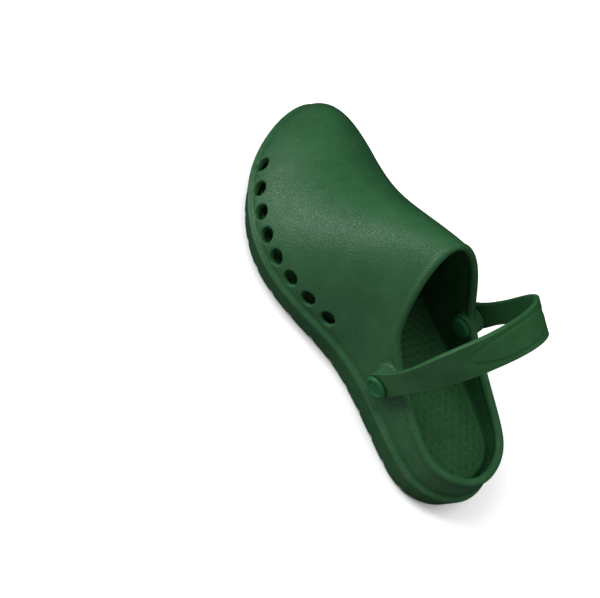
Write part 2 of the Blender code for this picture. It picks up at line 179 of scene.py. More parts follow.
# Camera, as found from the clog's proportions in the view.
CAMERA_TURN = (2.649466, -0.442206, 0.790260)
CAMERA_OFFSET = (38.3335, 8.1291, 1089.7557)
CAMERA_LENS = 103.03


def closed_spline(points, count):
    """Points along the closed cubic spline through the control points."""
    control = np.array(points + points[:1], float)
    chord = np.linalg.norm(np.diff(control, axis=0), axis=1) ** 0.5
    size = len(chord)
    system = np.zeros((size, size))
    right = np.zeros((size, 2))
    slope = np.diff(control, axis=0) / chord[:, None]
    for i in range(size):
        before = chord[i - 1]
        system[i, i - 1] += before
        system[i, i] += 2 * (before + chord[i])
        system[i, (i + 1) % size] += chord[i]
        right[i] = 6 * (slope[i] - slope[i - 1])
    bend = np.linalg.solve(system, right)
    bend = np.vstack([bend, bend[:1]])
    samples = []
    for i in range(size):
        t = np.linspace(0, chord[i], count // size, endpoint=False)[:, None]
        rest = chord[i] - t
        samples.append(
            (bend[i] * rest**3 + bend[i + 1] * t**3) / (6 * chord[i])
            + (control[i] / chord[i] - bend[i] * chord[i] / 6) * rest
            + (control[i + 1] / chord[i] - bend[i + 1] * chord[i] / 6) * t
        )
    return np.vstack(samples)


def open_spline(xs, ys):
    """Natural cubic spline through the knots, as a function."""
    xs, ys = np.array(xs, float), np.array(ys, float)
    step = np.diff(xs)
    size = len(xs)
    system = np.eye(size)
    right = np.zeros(size)
    for i in range(1, size - 1):
        system[i, i - 1 : i + 2] = step[i - 1], 2 * (step[i - 1] + step[i]), step[i]
        right[i] = 6 * ((ys[i + 1] - ys[i]) / step[i] - (ys[i] - ys[i - 1]) / step[i - 1])
    bend = np.linalg.solve(system, right)

    def value(x):
        x = np.asarray(x, float)
        i = np.clip(np.searchsorted(xs, x) - 1, 0, size - 2)
        low, high = x - xs[i], xs[i + 1] - x
        cubic = (bend[i] * high**3 + bend[i + 1] * low**3) / (6 * step[i])
        first = (ys[i] / step[i] - bend[i] * step[i] / 6) * high
        return cubic + first + (ys[i + 1] / step[i] - bend[i + 1] * step[i] / 6) * low

    return value


def smoothstep(low, high, value):
    t = np.clip((np.asarray(value, float) - low) / (high - low), 0, 1)
    return t * t * (3 - 2 * t)


crest_height = open_spline(CREST_Y, CREST_H)


def outline_control():
    """Control points round the upper's foot: heel, outer side, toe and back along the inner side."""
    outer = [
        (-HEEL_HALF * HEEL_CORNER, -HALF + 13),
        (-HEEL_HALF, -HALF + 38),
        (-OUTER_WAIST, -38),
        (-(OUTER_WAIST + OUTER_FOREFOOT) / 2 - 1, 0),
        (-OUTER_FOREFOOT, 42),
        (-OUTER_FOREFOOT * OUTER_TOE_SHOULDER, HALF - 50),
        (-OUTER_FOREFOOT * OUTER_TOE_CORNER + TOE_SHIFT * 0.5, HALF - 18),
    ]
    inner = [
        (INNER_FOREFOOT * INNER_TOE_CORNER + TOE_SHIFT * 0.3, HALF - 17),
        (INNER_FOREFOOT * INNER_TOE_SHOULDER, HALF - 48),
        (INNER_FOREFOOT, 48),
        ((INNER_WAIST + INNER_FOREFOOT) / 2 - 1, 5),
        (INNER_WAIST, -38),
        (HEEL_HALF, -HALF + 38),
        (HEEL_HALF * HEEL_CORNER, -HALF + 13),
    ]
    return [(0, -HALF)] + outer + [(TOE_SHIFT, HALF)] + inner


DENSE = closed_spline(outline_control(), OUTLINE_SAMPLES) + CENTRING
DENSE = np.roll(DENSE, -int(np.argmin(DENSE[:, 1])), axis=0)
TOE_AT = int(np.argmax(DENSE[:, 1]))
OUTER_EDGE = DENSE[: TOE_AT + 1]
INNER_EDGE = np.vstack([DENSE[TOE_AT:], DENSE[:1]])[::-1]


def edge_x(y, side):
    edge = OUTER_EDGE if side < 0 else INNER_EDGE
    return np.interp(y, edge[:, 1], edge[:, 0])


def outline_rings():
    """(points, outward normals, spine points) of a ring: heel to toe on the outer side, then back."""
    low, high = DENSE[0, 1], DENSE[TOE_AT, 1]
    y = (low + high) / 2 - (high - low) / 2 * np.cos(np.pi * np.arange(STATIONS + 1) / STATIONS)
    ring_x = np.concatenate([edge_x(y, -1), edge_x(y, 1)[-2:0:-1]])
    ring_y = np.concatenate([y, y[-2:0:-1]])
    points = np.stack([ring_x, ring_y], axis=1)
    along = np.roll(points, -1, axis=0) - np.roll(points, 1, axis=0)
    normals = np.stack([-along[:, 1], along[:, 0]], axis=1)
    normals /= np.linalg.norm(normals, axis=1)[:, None]
    spine_y = np.clip(y, SPINE_BACK, SPINE_FRONT)
    spine = np.stack([(edge_x(spine_y, -1) + edge_x(spine_y, 1)) / 2, spine_y], axis=1)
    return points, normals, np.vstack([spine, spine[-2:0:-1]])


OUTLINE, NORMALS, SPINE = outline_rings()


def spring(y):
    """Rise of the sole towards the toe."""
    return TOE_SPRING * np.clip((y - SPRING_START) / (HALF - SPRING_START), 0, 1) ** 2


def foot_inset(y):
    return HEEL_FOOT_INSET + (TOE_FOOT_INSET - HEEL_FOOT_INSET) * smoothstep(-60, 40, y)


def wall_thickness(y):
    return HEEL_WALL + (TOE_WALL - HEEL_WALL) * smoothstep(-60, 20, y)


def floor_height(y):
    return HEEL_FLOOR + (TOE_FLOOR - HEEL_FLOOR) * smoothstep(-70, 60, y) + spring(y)


def band_top(y):
    return BAND_HEIGHT + spring(y)


def crest_top(y):
    return band_top(y) + crest_height(y)


def flat_ring(outset, height, shrink=1.0):
    """Ring of the outline moved out by `outset`, drawn towards the spine by `shrink`."""
    plan = SPINE + (OUTLINE + NORMALS * np.reshape(outset, (-1, 1)) - SPINE) * shrink
    level = height(plan[:, 1]) if callable(height) else np.full(len(plan), height)
    return np.column_stack([plan, level])


def arch(girth):
    """Share of the upper's full height that its section has at this girth."""
    return (1 - np.asarray(girth) ** ACROSS_POWER) ** (1 / UP_POWER)


def dome_ring(girth, outset, base, crest):
    """Ring of an arched surface: girth 1 is its foot and girth 0 its crest line."""
    moved = OUTLINE + NORMALS * np.reshape(outset, (-1, 1))
    plan = SPINE + (moved - SPINE) * np.reshape(girth, (-1, 1))
    foot, top = base(plan[:, 1]), crest(plan[:, 1])
    return np.column_stack([plan, foot + (top - foot) * arch(girth)])


def girths(count):
    """Girths from just above the foot to the crest, closer together where the arch bends more."""
    angles = np.linspace(0, math.pi / 2, count + 1)[1:]
    values = np.cos(angles) ** (2 / ACROSS_POWER)
    values[-1] = 0
    return values


def heel_rim(y):
    along = np.clip((y + HALF) / (COLLAR_FOOT + HALF), 0, None)
    return HEEL_RIM + (COLLAR_RIM - HEEL_RIM) * along**2


def collar_rise(y):
    return COLLAR_SOFTNESS * np.logaddexp(0, (y - COLLAR_FOOT) / COLLAR_SOFTNESS)


COLLAR_SLOPE = (crest_top(COLLAR_TOP) - heel_rim(COLLAR_TOP)) / collar_rise(COLLAR_TOP)


def rim_height(y):
    return heel_rim(y) + COLLAR_SLOPE * collar_rise(y)


def bead_radius(y):
    """Radius of the rounded rim: half the wall and a little more, slimmer up the collar."""
    return wall_thickness(y) / 2 + BEAD_PROUD


def bead_line(y):
    """Height of the bead's centre, below the rim by its radius measured square to the rim."""
    slope = rim_height(y + 0.5) - rim_height(y - 0.5)
    return rim_height(y) - bead_radius(y) * np.sqrt(1 + slope**2)


# --- Mesh helpers ---------------------------------------------------------------------------


def link(obj):
    bpy.context.scene.collection.objects.link(obj)
    return obj


def mesh_object(name, points, faces):
    """A mesh object from millimetre points, with doubled points merged and its faces outward."""
    mesh = bpy.data.meshes.new(name)
    mesh.from_pydata((np.asarray(points, float) * MM).tolist(), [], faces)
    bm = bmesh.new()
    bm.from_mesh(mesh)
    bmesh.ops.remove_doubles(bm, verts=bm.verts, dist=0.000005)
    bmesh.ops.recalc_face_normals(bm, faces=bm.faces)
    if bm.calc_volume(signed=True) < 0:
        bmesh.ops.reverse_faces(bm, faces=bm.faces)
    bm.to_mesh(mesh)
    bm.free()
    return link(bpy.data.objects.new(name, mesh))


def loft(name, rings, closed_ends=False, loop=False):
    """Skin over rings of equal length, whose ends are collapsed, closed with a face or joined."""
    count = len(rings[0])
    points = np.vstack(rings)
    faces = []
    for r in range(len(rings) if loop else len(rings) - 1):
        s = (r + 1) % len(rings)
        for i in range(count):
            j = (i + 1) % count
            faces.append((r * count + i, r * count + j, s * count + j, s * count + i))
    if closed_ends:
        last = (len(rings) - 1) * count
        faces.append(tuple(range(count))[::-1])
        faces.append(tuple(range(last, last + count)))
    return mesh_object(name, points, faces)


def baked(obj):
    """The object with its modifiers applied and the helpers of its Booleans removed."""
    helpers = [m.object for m in obj.modifiers if m.type == "BOOLEAN"]
    bpy.context.view_layer.update()
    graph = bpy.context.evaluated_depsgraph_get()
    mesh = bpy.data.meshes.new_from_object(obj.evaluated_get(graph))
    obj.modifiers.clear()
    obj.data = mesh
    for helper in helpers:
        bpy.data.objects.remove(helper)
    return obj


def boolean(obj, other, operation="DIFFERENCE"):
    modifier = obj.modifiers.new(other.name, "BOOLEAN")
    modifier.operation = operation
    modifier.solver = "EXACT"
    modifier.object = other


def joined(name, objects):
    """One object from several separate meshes."""
    bm = bmesh.new()
    for obj in objects:
        mesh = obj.data
        mesh.transform(obj.matrix_world)
        bm.from_mesh(mesh)
        bpy.data.objects.remove(obj)
    mesh = bpy.data.meshes.new(name)
    bm.to_mesh(mesh)
    bm.free()
    return link(bpy.data.objects.new(name, mesh))


def frame_along(axis):
    """Rotation matrix whose third column is the axis."""
    return np.array(Vector(axis).to_track_quat("Z", "Y").to_matrix())


def turned(name, profile, base, axis, steps=ROUND_STEPS):
    """Solid of revolution about `axis` from (radius, distance along the axis from base) points."""
    turn = np.linspace(0, 2 * math.pi, steps, endpoint=False)
    axes = frame_along(axis)
    rings = []
    for r, d in profile:
        ring = np.column_stack([r * np.cos(turn), r * np.sin(turn), np.full(steps, d)])
        rings.append(ring @ axes.T + base)
    return loft(name, rings)


def vertex_arrays(obj):
    count = len(obj.data.vertices)
    points, normals = np.empty(count * 3, np.float32), np.empty(count * 3, np.float32)
    obj.data.vertices.foreach_get("co", points)
    obj.data.vertex_normals.foreach_get("vector", normals)
    return points.reshape(-1, 3) / MM, normals.reshape(-1, 3).astype(float)


def set_points(obj, points):
    obj.data.vertices.foreach_set("co", (points * MM).astype(np.float32).ravel())
    obj.data.update()


def rounded_profile(corners, radius, steps=5):
    """(radius, distance) profile with its inside corners replaced by short arcs."""
    points = [corners[0]]
    for before, here, after in zip(corners, corners[1:], corners[2:]):
        before, here, after = (np.array(p, float) for p in (before, here, after))
        back, ahead = before - here, after - here
        reach = min(radius, 0.45 * np.linalg.norm(back), 0.45 * np.linalg.norm(ahead))
        start = here + back / np.linalg.norm(back) * reach
        end = here + ahead / np.linalg.norm(ahead) * reach
        for t in np.linspace(0, 1, steps):
            points.append(tuple(start * (1 - t) ** 2 + here * 2 * t * (1 - t) + end * t**2))
    return points + [corners[-1]]


# --- Shell ----------------------------------------------------------------------------------


def outer_body():
    """Sole and upper as one closed body, with a welt and a crease where they meet."""
    inset = foot_inset(OUTLINE[:, 1])
    rings = [flat_ring(-inset - FOOT_RADIUS, spring, s) for s in UNDERSIDE_RINGS]
    for angle in np.linspace(0, math.pi / 2, 6):
        lift = FOOT_RADIUS * (1 - math.cos(angle))
        rings.append(
            flat_ring(-inset - FOOT_RADIUS * (1 - math.sin(angle)), lambda y, k=lift: spring(y) + k)
        )
    for t in np.linspace(0, 1, 8)[1:]:
        low, high = FOOT_RADIUS, BAND_HEIGHT - WELT_ROUND_HEIGHT
        rings.append(
            flat_ring(-inset * (1 - t) + WELT * t, lambda y, k=low + (high - low) * t: spring(y) + k)
        )
    for angle in np.linspace(0, math.pi / 2, 6)[1:]:
        drop = WELT_ROUND_HEIGHT - WELT_ROUND_RISE * math.sin(angle)
        outset = WELT - WELT_ROUND_INSET * (1 - math.cos(angle))
        rings.append(flat_ring(outset, lambda y, k=drop: band_top(y) - k))
    rings.append(flat_ring(-CREASE_DEPTH, lambda y: band_top(y) - CREASE_DROP))
    for girth in girths(DOME_RINGS):
        rise = CREASE_DOME_HEIGHT * arch(girth)
        fade = CREASE_DEPTH * math.exp(-((rise / CREASE_HEIGHT) ** 2))
        rings.append(dome_ring(girth, -fade, band_top, crest_top))
    return loft("shell", rings)


def foot_space():
    wall = wall_thickness(OUTLINE[:, 1])
    rings = [flat_ring(0, floor_height, 0.0), flat_ring(-wall - 2, floor_height)]
    rings.append(flat_ring(-wall - FLOOR_CHAMFER, lambda y: floor_height(y) + FLOOR_CHAMFER))
    rings += [
        dome_ring(g, -wall, floor_height, lambda y: crest_top(y) - wall_thickness(y))
        for g in girths(DOME_RINGS)
    ]
    return loft("foot_space", rings)


def opening():
    """Prism above the bead's centre line, open to the back and to the top of the collar."""
    y = np.linspace(-HALF - 12, COLLAR_TOP + 15, 90)
    profile = [(a, float(bead_line(a))) for a in y] + [(y[-1], OVERHEAD), (y[0], OVERHEAD)]
    sides = [np.array([(x, a, b) for a, b in profile]) for x in (-LENGTH, LENGTH)]
    return loft("opening", sides, True)


def middle_base(y):
    return (band_top(y) + floor_height(y)) / 2


def middle_crest(y):
    return crest_top(y) - wall_thickness(y) / 2


def bisect(below, low, high):
    """Value where the monotonic test changes from true to false."""
    for _ in range(40):
        middle = (low + high) / 2
        if below(middle):
            low = middle
        else:
            high = middle
    return (low + high) / 2


def bead_path():
    """Loop in the middle of the wall at the rim: stations round the heel, girths over the crest."""
    half_wall = wall_thickness(OUTLINE[:, 1]) / 2

    def ring_at(girth):
        return dome_ring(girth, -half_wall, middle_base, middle_crest)

    def crest_side(girth, side):
        def point(y):
            x_mid = (edge_x(y, -1) + edge_x(y, 1)) / 2
            reach = abs(edge_x(y, side) - x_mid) - wall_thickness(y) / 2
            foot = middle_base(y)
            height = foot + (middle_crest(y) - foot) * arch(girth)
            return np.array([x_mid + side * reach * girth, y, height])

        y = bisect(lambda y: point(y)[2] > bead_line(y), SPINE_BACK + 1, COLLAR_TOP + 12)
        return point(y)

    over = np.linspace(-BEAD_SWITCH, BEAD_SWITCH, 61)
    crossing = [crest_side(abs(g), 1 if g > 0 else -1) for g in over]
    grid = np.linspace(BEAD_LOWEST_GIRTH, 1.0, 400)
    stack = np.stack([ring_at(np.full(len(OUTLINE), g)) for g in grid])
    excess = stack[:, :, 2] - bead_line(stack[:, :, 1])
    heel_points = {-1: [], 1: []}
    for i in range(len(OUTLINE)):
        side = -1 if i <= STATIONS else 1
        limit = crossing[0][1] if side < 0 else crossing[-1][1]
        if OUTLINE[i, 1] > limit - 1.0 or not (excess[0, i] > 0 > excess[-1, i]):
            continue
        girth = float(np.interp(0, -excess[:, i], grid))
        above = np.searchsorted(grid, girth)
        one, two = stack[above - 1, i], stack[min(above, len(grid) - 1), i]
        t = (girth - grid[above - 1]) / (grid[1] - grid[0])
        heel_points[side].append(one * (1 - t) + two * t)
    return np.array(crossing[::-1] + heel_points[-1][::-1] + heel_points[1][::-1])


def tube(name, path, radii, sides=20):
    """Closed tube along a loop of points."""
    along = np.roll(path, -1, axis=0) - np.roll(path, 1, axis=0)
    along /= np.linalg.norm(along, axis=1)[:, None]
    centre = path.mean(axis=0)
    rings = []
    turn = np.linspace(0, 2 * math.pi, sides, endpoint=False)
    for point, forward, radius in zip(path, along, radii):
        out = point - centre
        out -= forward * (out @ forward)
        out /= np.linalg.norm(out)
        up = np.cross(forward, out)
        rings.append(point + radius * (np.outer(np.cos(turn), out) + np.outer(np.sin(turn), up)))
    return loft(name, rings, loop=True)


def dome_half(girth, side):
    ring = dome_ring(girth, 0, band_top, crest_top)
    if side < 0:
        return ring[: STATIONS + 1]
    return np.vstack([ring[STATIONS:], ring[:1]])[::-1]


def on_upper(y, rise, side):
    """Point of the upper at this y and this height above the sole band."""
    girth = (1 - (rise / float(crest_height(y))) ** UP_POWER) ** (1 / ACROSS_POWER)
    half = dome_half(girth, side)
    return np.array([np.interp(y, half[:, 1], half[:, k]) for k in range(3)])


def vent_places():
    """(point, outward normal, direction down the wall) for each vent."""
    places = []
    for side, count in ((-1, OUTER_VENT_COUNT), (1, INNER_VENT_COUNT)):
        for n in range(count):
            y = VENT_FRONT - n * VENT_PITCH
            share = n / (OUTER_VENT_COUNT - 1)
            rise = VENT_RISE_FRONT + (VENT_RISE_BACK - VENT_RISE_FRONT) * share
            along = on_upper(y + 2, rise, side) - on_upper(y - 2, rise, side)
            up = on_upper(y, rise + 1, side) - on_upper(y, rise - 1, side)
            normal = np.cross(along, up) * -side
            normal /= np.linalg.norm(normal)
            places.append((on_upper(y, rise, side), normal, -up / np.linalg.norm(up)))
    return places


def vent_cutters(places):
    """Trumpet-shaped cutters, which leave a rounded lip."""
    profile = [(0.0, -VENT_DEPTH), (VENT_RADIUS, -VENT_DEPTH), (VENT_RADIUS, -VENT_LIP)]
    for angle in np.linspace(0, math.pi / 2, 7)[1:]:
        radius = VENT_RADIUS + VENT_LIP * (1 - math.cos(angle))
        profile.append((radius, -VENT_LIP * (1 - math.sin(angle))))
    profile += [(VENT_RADIUS + VENT_LIP, CUTTER_OVERRUN), (0.0, CUTTER_OVERRUN)]
    parts = [turned("vent", profile, point, normal, 40) for point, normal, _ in places]
    return joined("vents", parts)


def prism(name, low, high):
    """Axis-aligned box between two millimetre corners."""
    corners = [(low[1], low[2]), (high[1], low[2]), (high[1], high[2]), (low[1], high[2])]
    rings = [np.array([(x, y, z) for y, z in corners]) for x in (low[0], high[0])]
    return loft(name, rings, True)


def sole_grooves():
    """Tread grooves that run out at the sole's edge, as in the CAD part."""
    count = int((LENGTH - 2 * NOTCH_END_MARGIN) / NOTCH_PITCH) + 1
    first = -(count - 1) / 2 * NOTCH_PITCH
    parts = []
    for n in range(count):
        y = first + n * NOTCH_PITCH
        for side in (-1, 1):
            edge = float(edge_x(y, side))
            inner_end = edge - side * (float(foot_inset(y)) + NOTCH_DEPTH)
            ends = sorted((inner_end, edge + side * NOTCH_OVERRUN))
            low = (ends[0], y - NOTCH_WIDTH / 2, -NOTCH_HEIGHT)
            high = (ends[1], y + NOTCH_WIDTH / 2, float(spring(y)) + NOTCH_HEIGHT)
            parts.append(prism("groove", low, high))
    return joined("grooves", parts)


PIVOTS = {"outer": np.array(OUTER_PIVOT), "inner": np.array(INNER_PIVOT)}
PIVOT_SPAN = float(np.linalg.norm(PIVOTS["inner"] - PIVOTS["outer"]))
PIVOT_AXIS = (PIVOTS["inner"] - PIVOTS["outer"]) / PIVOT_SPAN
PIVOT_MIDDLE = (PIVOTS["inner"] + PIVOTS["outer"]) / 2
OUTWARD = {"outer": -PIVOT_AXIS, "inner": PIVOT_AXIS}


def pads():
    parts = []
    corners = [(0.0, -PAD_LENGTH), (PAD_RADIUS, -PAD_LENGTH), (PAD_RADIUS, 0.0), (0.0, 0.0)]
    profile = rounded_profile(corners, PAD_ROUNDING)
    for name, face in PIVOTS.items():
        parts.append(turned("pad", profile, face, OUTWARD[name], 64))
    return joined("pads", parts)


def shank_holes():
    parts = []
    near, far = CUTTER_OVERRUN, -PAD_LENGTH - CUTTER_OVERRUN
    profile = [(0.0, far), (STRAP_HOLE_RADIUS, far), (STRAP_HOLE_RADIUS, near), (0.0, near)]
    for name, face in PIVOTS.items():
        parts.append(turned("hole", profile, face, OUTWARD[name], 48))
    return joined("holes", parts)


def scoop(obj, places):
    """Presses a shallow teardrop into the wall below each vent."""
    points, normals = vertex_arrays(obj)
    push = np.zeros(len(points))
    for point, normal, down in places:
        across = np.cross(normal, down)
        local = points - point
        a, b, c = local @ across, local @ down, local @ normal
        near = (np.abs(c) < SCOOP_REACH) & (normals @ normal > SCOOP_FACING)
        width = SCOOP_HALF_WIDTH * (1 - SCOOP_TAPER * np.clip(b / (2 * SCOOP_HALF_LENGTH), 0, 1))
        shape = np.exp(-((a / width) ** 2) - ((b - SCOOP_OFFSET) / SCOOP_HALF_LENGTH) ** 2)
        push += np.where(near, shape, 0)
    set_points(obj, points - normals * (SCOOP_DEPTH * np.clip(push, 0, 1.2))[:, None])


def build_shell():
    shell = outer_body()
    boolean(shell, foot_space())
    boolean(shell, opening())
    path = bead_path()
    boolean(shell, tube("bead", path, bead_radius(path[:, 1])), "UNION")
    boolean(shell, pads(), "UNION")
    places = vent_places()
    boolean(shell, vent_cutters(places))
    boolean(shell, shank_holes())
    boolean(shell, sole_grooves())
    baked(shell)
    remesh = shell.modifiers.new("remesh", "REMESH")
    remesh.mode = "VOXEL"
    remesh.voxel_size = VOXEL * MM
    smooth = shell.modifiers.new("smooth", "SMOOTH")
    smooth.factor = 0.5
    smooth.iterations = SMOOTHING_ROUNDS
    baked(shell)
    scoop(shell, places)
    faces = sum(len(p.vertices) - 2 for p in shell.data.polygons)
    reduce = shell.modifiers.new("reduce", "DECIMATE")
    reduce.ratio = min(1.0, SHELL_FACES / faces)
    baked(shell)
    return shell


# --- Insole ---------------------------------------------------------------------------------


DIMPLE_PITCH = 6.0
DIMPLE_RADIUS = 1.9
DIMPLE_DEPTH = 0.9
DIMPLE_BORDER = (3.6, 5.2)  # the dimples fade in between these distances from the edge
DIMPLE_FLAT = 0.35  # share of the radius at full depth
INSOLE_ROWS = 430
INSOLE_COLUMNS = 104


def dimples(x, y):
    """Depth of the staggered dimples, 0 between them."""
    row_pitch = DIMPLE_PITCH * math.sqrt(3) / 2
    deep = np.zeros_like(x)
    for shift in (-1, 0, 1):
        row = np.round(y / row_pitch) + shift
        offset = np.where(row % 2 == 0, 0.0, DIMPLE_PITCH / 2)
        near_x = np.round((x - offset) / DIMPLE_PITCH) * DIMPLE_PITCH + offset
        away = np.hypot(x - near_x, y - row * row_pitch)
        deep = np.maximum(deep, 1 - smoothstep(DIMPLE_RADIUS * DIMPLE_FLAT, DIMPLE_RADIUS, away))
    return deep


def build_insole():
    """Loose footbed on the floor: rows across the foot, a rounded edge and dimples in the top."""
    inset = wall_thickness(OUTLINE[:, 1]) + INSOLE_BORDER
    ring = flat_ring(-inset, 0.0)[:, :2]
    heel, toe = int(np.argmin(ring[:, 1])), int(np.argmax(ring[:, 1]))
    outer = ring[heel : toe + 1]
    inner = np.vstack([ring[toe:], ring[: heel + 1]])[::-1]
    low, high = ring[heel, 1] + 0.02, ring[toe, 1] - 0.02
    turn = np.linspace(0, math.pi, INSOLE_ROWS)
    even = np.linspace(0, 1, INSOLE_ROWS)
    share = 0.8 * even + 0.2 * (1 - np.cos(turn)) / 2
    y = low + (high - low) * share
    left = np.interp(y, outer[:, 1], outer[:, 0])
    right = np.interp(y, inner[:, 1], inner[:, 0])
    across = np.linspace(0, 1, INSOLE_COLUMNS)
    across = 0.85 * across + 0.15 * (1 - np.cos(across * math.pi)) / 2
    x = left[:, None] + (right - left)[:, None] * across
    yy = np.repeat(y[:, None], INSOLE_COLUMNS, axis=1)
    side_gap = np.minimum(x - left[:, None], right[:, None] - x)
    slant = np.hypot(1, np.gradient(left, y))[:, None]
    edge = np.minimum(side_gap / np.minimum(slant, 4), np.minimum(yy - low, high - yy))
    edge = np.maximum(edge, 0)
    rounding = INSOLE_EDGE * (1 - np.sqrt(1 - (1 - np.clip(edge / INSOLE_EDGE, 0, 1)) ** 2))
    ridge = INSOLE_RIDGE_HEIGHT * np.exp(
        -(((edge - INSOLE_RIDGE_INSET) / INSOLE_RIDGE_HALF_WIDTH) ** 2)
    )
    base = floor_height(yy) + GAP
    inside = smoothstep(*DIMPLE_BORDER, edge)
    top = base + INSOLE_THICKNESS - rounding + ridge - DIMPLE_DEPTH * dimples(x, yy) * inside
    rows, columns = x.shape
    upper = np.column_stack([x.ravel(), yy.ravel(), top.ravel()])
    lower = np.column_stack([x.ravel(), yy.ravel(), base.ravel()])
    count = rows * columns
    faces = []
    for r in range(rows - 1):
        for c in range(columns - 1):
            a = r * columns + c
            faces.append((a, a + 1, a + columns + 1, a + columns))
    border = list(range(columns))
    border += [r * columns + columns - 1 for r in range(1, rows)]
    border += [(rows - 1) * columns + c for c in range(columns - 2, -1, -1)]
    border += [r * columns for r in range(rows - 2, 0, -1)]
    points = np.vstack([upper, lower[border]])
    size = len(border)
    for i in range(size):
        j = (i + 1) % size
        faces.append((border[i], count + i, count + j, border[j]))
    faces.append(tuple(range(count, count + size)))
    return mesh_object("insole_pad", points, faces)


# --- Strap and studs ------------------------------------------------------------------------


def strap_frame():
    """Columns of the strap's own axes: along the pivots, across the band and away from the pivots."""
    lean = math.radians(STRAP_LEAN)
    out = np.array([0, -math.sin(lean), math.cos(lean)])
    out -= PIVOT_AXIS * (out @ PIVOT_AXIS)
    out /= np.linalg.norm(out)
    return np.column_stack([PIVOT_AXIS, np.cross(out, PIVOT_AXIS), out])


def strap_path():
    """Centre line of the strap in its own plane, and which side each point is on."""
    half = PIVOT_SPAN / 2 + GAP + STRAP_THICKNESS / 2
    bow = half * STRAP_BOW
    straight = STRAP_REACH - STRAP_THICKNESS / 2 - bow
    tip = -STRAP_END_RADIUS * np.cos(np.linspace(0.06, math.pi / 2, 26))
    legs = np.concatenate([tip, np.linspace(0, straight, 44)[1:]])
    turn = np.linspace(0, math.pi, 161)[1:-1]
    points = [(-half, v) for v in legs]
    points += [(-half * math.cos(a), straight + bow * math.sin(a)) for a in turn]
    points += [(half, v) for v in legs[::-1]]
    path = np.array(points)
    side = path[:, 0] / half
    path[:, 0] += STRAP_SIDESTEP * smoothstep(STRAP_END_RADIUS, STRAP_REACH, path[:, 1])
    return path, side


def strap_width(v):
    """Half width of the band, round at its ends and widest at the heel."""
    narrowing = STRAP_NECK_HALF_WIDTH - STRAP_END_RADIUS
    neck = STRAP_END_RADIUS + narrowing * smoothstep(0, STRAP_NECK_END, v)
    back = smoothstep(STRAP_REACH * STRAP_WIDENING[0], STRAP_REACH * STRAP_WIDENING[1], v)
    width = neck + (STRAP_BACK_HALF_WIDTH - STRAP_NECK_HALF_WIDTH) * back
    inside = np.clip(-v, 0, STRAP_END_RADIUS)
    return np.where(v < 0, np.sqrt(STRAP_END_RADIUS**2 - inside**2), width)


def strap_bank(side, v):
    """Tilt of the band's section, different on the two sides."""
    along = smoothstep(-0.6, 0.6, side)
    flare = OUTER_FLARE + (INNER_FLARE - OUTER_FLARE) * along
    tilt = smoothstep(STRAP_REACH * STRAP_BANKING[0], STRAP_REACH * STRAP_BANKING[1], v)
    return np.radians(flare) * tilt


def band_section(half_width):
    """(outward, across) points of the band's section: rounded edges, fine steps across its face."""
    thick = STRAP_THICKNESS / 2
    rounding = min(STRAP_ROUNDING, half_width * 0.45)
    arc = np.linspace(0, math.pi / 2, 7)
    across = np.linspace(-1, 1, 33)[1:-1] * (half_width - rounding)
    corner = [
        (thick - rounding * (1 - math.cos(a)), half_width - rounding * (1 - math.sin(a))) for a in arc
    ]
    face = [(thick, b) for b in across]
    back = [(-a, b) for a, b in corner[::-1]] + [(-thick, b) for b in across[::-1]]
    low = [(-a, -b) for a, b in corner] + [(a, -b) for a, b in corner[::-1]]
    return np.array(face + corner + back + low)


def build_strap():
    path, side = strap_path()
    tangent = np.gradient(path, axis=0)
    tangent /= np.linalg.norm(tangent, axis=1)[:, None]
    v = path[:, 1]
    steps = np.linalg.norm(np.diff(path, axis=0), axis=1)
    arc = np.concatenate([[0], np.cumsum(steps)])
    arc -= arc[int(np.argmax(v))]
    width, bank = strap_width(v), strap_bank(side, v)
    slew = STRAP_SLEW * side * smoothstep(STRAP_END_RADIUS, STRAP_REACH, v)
    axes = strap_frame()
    rings = []
    for k in range(len(path)):
        section = band_section(width[k])
        reach = np.hypot(arc[k] / PANEL_HALF_LENGTH, section[:, 1] / PANEL_HALF_WIDTH)
        front = section[:, 0] > STRAP_THICKNESS / 2 - 0.05
        groove = np.exp(-(((reach - 1) * PANEL_HALF_WIDTH / PANEL_GROOVE_HALF_WIDTH) ** 2))
        lift = PANEL_PROUD * (smoothstep(1.0, 0.8, reach) - 1)
        section[:, 0] += np.where(front, lift - PANEL_GROOVE * groove, 0)
        turn = bank[k]
        outward = section[:, 0] * math.cos(turn) + section[:, 1] * math.sin(turn)
        across = section[:, 1] * math.cos(turn) - section[:, 0] * math.sin(turn) + slew[k]
        tu, tv = tangent[k]
        local = np.column_stack([path[k, 0] - tv * outward, across, path[k, 1] + tu * outward])
        rings.append(local @ axes.T + PIVOT_MIDDLE)
    strap = loft("strap_band", rings, True)
    reach = PIVOT_SPAN
    profile = [(0.0, -reach), (STRAP_HOLE_RADIUS, -reach), (STRAP_HOLE_RADIUS, reach), (0.0, reach)]
    boolean(strap, turned("strap_hole", profile, PIVOT_MIDDLE, PIVOT_AXIS, 64))
    return baked(strap)


